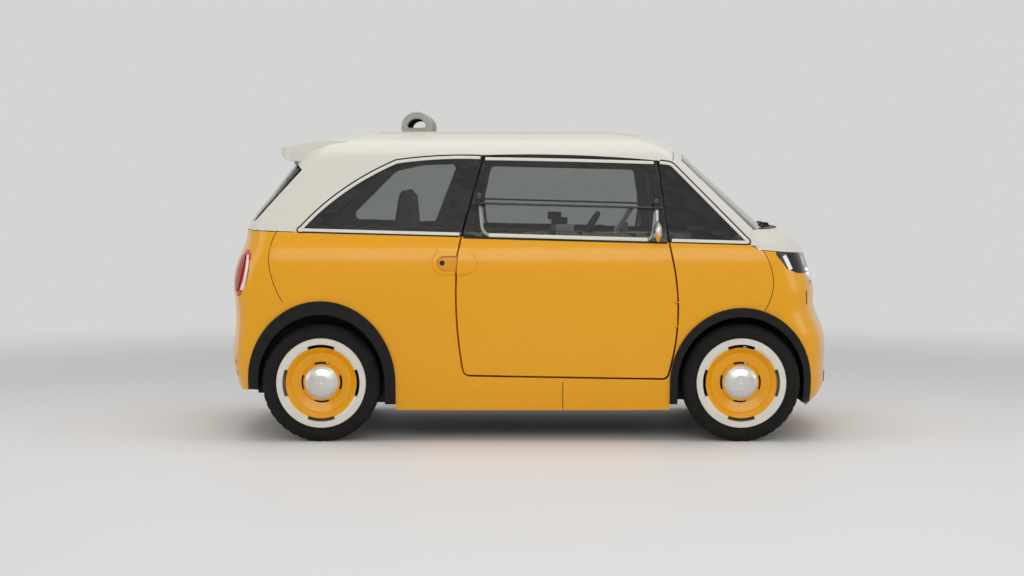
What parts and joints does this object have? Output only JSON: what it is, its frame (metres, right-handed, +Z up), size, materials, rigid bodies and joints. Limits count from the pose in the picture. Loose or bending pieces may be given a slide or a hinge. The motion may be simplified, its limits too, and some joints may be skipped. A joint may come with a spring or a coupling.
{
  "type": "micro city car",
  "caption": "Short two-tone city car with an open roll-back canvas roof, flush side glass, round mirrors, hinged doors and rear hatch.",
  "frame": {"origin": "on the ground under the middle of the car's overall box", "axes": "+X forward, +Y to the car's left, +Z up"},
  "size_m": [2.9615, 1.648, 1.5779],
  "materials": {
    "yellow_paint": "gloss",
    "cream_paint": "gloss",
    "glass": "polished",
    "black_plastic": "satin",
    "grey_plastic": "satin",
    "steel": "satin",
    "cast_metal": "cast",
    "bright_metal": "polished",
    "red_lens": "gloss",
    "tyre": "matte",
    "seat_cloth": "woven",
    "canvas": "woven"
  },
  "bodies": {
    "body": {"floorpan": "black_plastic", "roof_panel": "cream_paint", "windscreen_frame": "cream_paint", "windscreen": "glass", "front_hood": "cream_paint", "cowl_panel": "black_plastic", "quarter_panel_right": "yellow_paint", "quarter_panel_left": "yellow_paint", "front_wing_right": "yellow_paint", "front_wing_left": "yellow_paint", "front_bumper": "yellow_paint", "rear_bumper": "yellow_paint", "side_windows": "glass", "window_frames": "black_plastic", "arch_trims": "black_plastic", "wheel_liners": "black_plastic", "headlamps": "black_plastic", "round_lamps": "bright_metal", "tail_lamps": "red_lens", "dashboard": "grey_plastic", "display_panel": "grey_plastic", "steering_column": "black_plastic", "seat_right": "seat_cloth", "seat_left": "seat_cloth", "battery_pack": "cast_metal", "drive_motor": "cast_metal", "front_axle": "steel", "rear_axle": "steel", "sunroof_frame": "black_plastic", "roof_roll": "canvas"},
    "tailgate": {"tailgate_frame": "black_plastic", "tailgate_glass": "glass"},
    "steering_wheel": {"steering_wheel": "black_plastic"},
    "door_right": {"door_panel_right": "yellow_paint", "door_frame_right": "black_plastic", "door_window_right": "glass", "window_rail_right": "steel", "mirror_right": "bright_metal"},
    "knuckle_right": {"knuckle_right": "steel"},
    "door_left": {"door_panel_left": "yellow_paint", "door_frame_left": "black_plastic", "door_window_left": "glass", "window_rail_left": "steel", "mirror_left": "bright_metal"},
    "knuckle_left": {"knuckle_left": "steel"},
    "wheel_front_right": {"tyre_front_right": "tyre", "wheel_front_right": "yellow_paint", "hub_cap_front_right": "bright_metal"},
    "wheel_front_left": {"tyre_front_left": "tyre", "wheel_front_left": "yellow_paint", "hub_cap_front_left": "bright_metal"},
    "wheel_rear_right": {"tyre_rear_right": "tyre", "wheel_rear_right": "yellow_paint", "hub_cap_rear_right": "bright_metal"},
    "wheel_rear_left": {"tyre_rear_left": "tyre", "wheel_rear_left": "yellow_paint", "hub_cap_rear_left": "bright_metal"}
  },
  "joints": [
    {"name": "door_right_swing", "type": "hinge", "parent": "body", "child": "door_right", "pos_m": [0.694, -0.732, 0.63], "axis": [0, 0, 1], "range_deg": [0, 65]},
    {"name": "door_left_swing", "type": "hinge", "parent": "body", "child": "door_left", "pos_m": [0.694, 0.732, 0.63], "axis": [0, 0, -1], "range_deg": [0, 65]},
    {"name": "tailgate_lift", "type": "hinge", "parent": "body", "child": "tailgate", "pos_m": [-1.166, 0, 1.312], "axis": [0, 1, 0], "range_deg": [0, 75]},
    {"name": "steer_left", "type": "hinge", "parent": "body", "child": "knuckle_left", "pos_m": [1.005, 0.6, 0.281], "axis": [0, 0, 1], "range_deg": [-30, 30]},
    {"name": "steer_right", "type": "hinge", "parent": "body", "child": "knuckle_right", "pos_m": [1.005, -0.6, 0.281], "axis": [0, 0, 1], "range_deg": [-30, 30]},
    {"name": "steering_wheel_turn", "type": "hinge", "parent": "body", "child": "steering_wheel", "pos_m": [0.276, 0.33, 0.928], "axis": [-0.848, 0, 0.53], "range_deg": [-452, 452]},
    {"name": "wheel_front_right_spin", "type": "hinge", "parent": "knuckle_right", "child": "wheel_front_right", "pos_m": [1.005, -0.63, 0.281], "axis": [0, 1, 0], "continuous": true},
    {"name": "wheel_front_left_spin", "type": "hinge", "parent": "knuckle_left", "child": "wheel_front_left", "pos_m": [1.005, 0.63, 0.281], "axis": [0, 1, 0], "continuous": true},
    {"name": "wheel_rear_right_spin", "type": "hinge", "parent": "body", "child": "wheel_rear_right", "pos_m": [-0.995, -0.63, 0.281], "axis": [0, 1, 0], "continuous": true},
    {"name": "wheel_rear_left_spin", "type": "hinge", "parent": "body", "child": "wheel_rear_left", "pos_m": [-0.995, 0.63, 0.281], "axis": [0, 1, 0], "continuous": true}
  ],
  "couplings": [
    {"joint": "steer_right", "follows": "steer_left", "ratio": 1},
    {"joint": "steering_wheel_turn", "follows": "steer_left", "ratio": 15}
  ]
}
